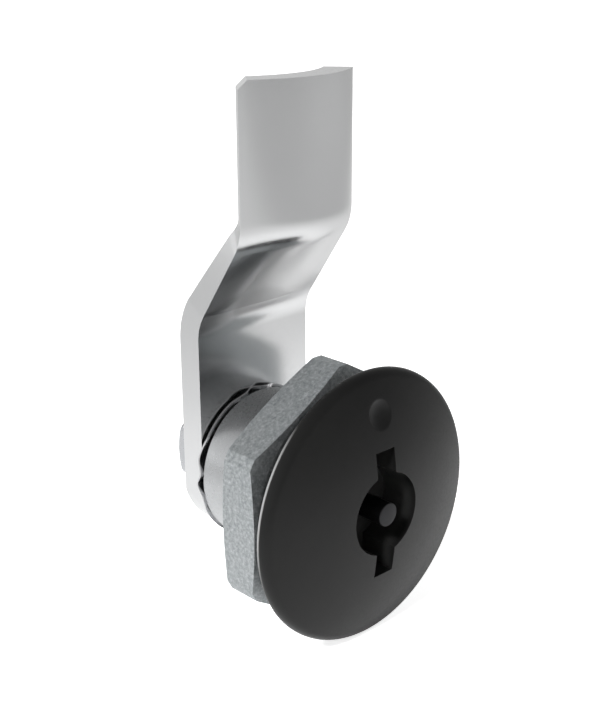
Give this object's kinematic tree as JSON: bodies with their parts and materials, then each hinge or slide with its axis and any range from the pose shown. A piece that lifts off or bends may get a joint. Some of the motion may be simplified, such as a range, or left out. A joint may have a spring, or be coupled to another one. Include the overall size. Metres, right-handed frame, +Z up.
{
  "type": "quarter-turn cam latch",
  "caption": "Quarter-turn cam latch with a crowned round head, a pin-and-wing key socket, a threaded body with a hexagon nut, and a cranked cam with a curved tip.",
  "frame": {"origin": "centre of the panel seat, where the gasket's rear face meets the outside of the door, on the latch's turning axis", "axes": "+Y runs from the head through the door to the cam, +Z runs up along the cam in the pictured position, +X is to the right seen from the front"},
  "size_m": [0.0348, 0.0336, 0.0683],
  "materials": {
    "black_coat": "satin black coat on cast zinc",
    "dark_steel": "blackened steel",
    "seal_rubber": "matte black rubber",
    "housing_metal": "satin plated cast zinc",
    "nut_metal": "fine-grained zinc",
    "stop_steel": "zinc-plated steel",
    "spring_steel": "bright spring steel",
    "cam_steel": "satin bright zinc-plated steel",
    "fastener_steel": "bright zinc-plated steel"
  },
  "bodies": {
    "housing": {"housing": "housing_metal", "panel_gasket": "seal_rubber", "mounting_nut": "nut_metal"},
    "rotor": {"rotor": "black_coat", "key_pin": "dark_steel", "spindle_o_ring": "seal_rubber", "stop_disc": "stop_steel", "wave_washer": "spring_steel", "cam": "cam_steel", "cam_washer": "fastener_steel", "lock_washer": "spring_steel", "cam_screw": "fastener_steel"}
  },
  "joints": [
    {"name": "cam_turn", "type": "hinge", "parent": "housing", "child": "rotor", "pos_m": [0, 0, 0], "axis": [0, 1, 0], "range_deg": [0, 90]}
  ]
}
